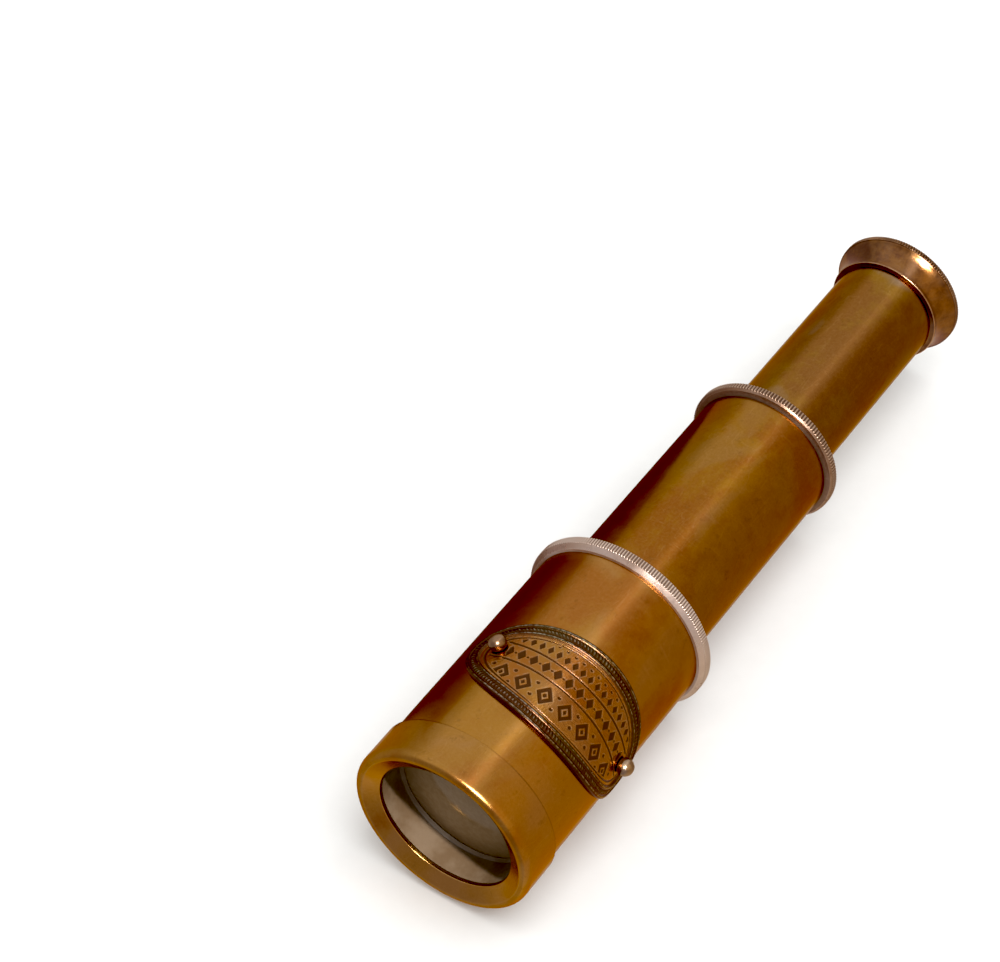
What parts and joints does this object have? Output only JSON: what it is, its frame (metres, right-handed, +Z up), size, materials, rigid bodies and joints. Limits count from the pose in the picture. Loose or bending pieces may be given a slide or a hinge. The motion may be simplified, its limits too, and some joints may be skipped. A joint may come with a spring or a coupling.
{
  "type": "telescope",
  "caption": "Hand-held brass telescope with sliding draws, knurled collars, a flared eyecup and a pinned oval plate.",
  "frame": {"origin": "on the optical axis, in the middle of the objective cap's straight rim, which is the mount objective_cap_rim", "axes": "+X runs along the optical axis from the objective to the eyepiece, +Z is up, and the name plate faces between +Z and -Y"},
  "size_m": [0.1539, 0.0374, 0.036],
  "materials": {
    "barrel_brass": "antiqued and lacquered",
    "cap_brass": "antiqued, worn bright at the edge",
    "collar_metal": "silvered by wear, knurled",
    "plate_brass": "etched, darkened in the border",
    "pin_metal": "polished ball heads",
    "draw_brass": "antiqued, with long handling marks",
    "bare_brass": "plain turned",
    "eyecup_brass": "dark and glossy",
    "blackened_brass": "matt black inside",
    "lens_glass": "polished"
  },
  "bodies": {
    "barrel": {"barrel_tube": "barrel_brass", "objective_cap": "cap_brass", "objective_seat": "bare_brass", "objective_lens": "lens_glass", "objective_ring": "blackened_brass", "barrel_collar": "collar_metal", "name_plate": "plate_brass", "plate_pins": "pin_metal"},
    "sleeve_1": {"barrel_sleeve": "bare_brass"},
    "draw_1": {"draw_tube_1": "draw_brass", "draw_1_stop": "bare_brass", "draw_1_collar": "collar_metal"},
    "sleeve_2": {"draw_1_sleeve": "bare_brass"},
    "draw_2": {"draw_tube_2": "draw_brass", "draw_2_stop": "bare_brass", "erector_tube": "blackened_brass", "erector_ring": "blackened_brass", "erector_front_lens": "lens_glass", "erector_front_spacer": "blackened_brass", "erector_stop": "blackened_brass", "erector_rear_spacer": "blackened_brass", "erector_rear_lens": "lens_glass", "eyepiece_tube": "blackened_brass", "field_lens": "lens_glass", "field_spacer": "blackened_brass", "field_stop": "blackened_brass", "eye_spacer": "blackened_brass", "eye_lens": "lens_glass", "eye_lens_ring": "blackened_brass", "eyecup": "eyecup_brass"}
  },
  "joints": [
    {"name": "draw_1_turn", "type": "hinge", "parent": "barrel", "child": "sleeve_1", "pos_m": [0.0489, 0, 0], "axis": [1, 0, 0], "continuous": true},
    {"name": "draw_1_slide", "type": "slide", "parent": "sleeve_1", "child": "draw_1", "axis": [1, 0, 0], "range_m": [-0.0364, 0]},
    {"name": "draw_2_turn", "type": "hinge", "parent": "draw_1", "child": "sleeve_2", "pos_m": [0.0969, 0, 0], "axis": [1, 0, 0], "continuous": true},
    {"name": "draw_2_slide", "type": "slide", "parent": "sleeve_2", "child": "draw_2", "axis": [1, 0, 0], "range_m": [-0.0434, 0]}
  ]
}
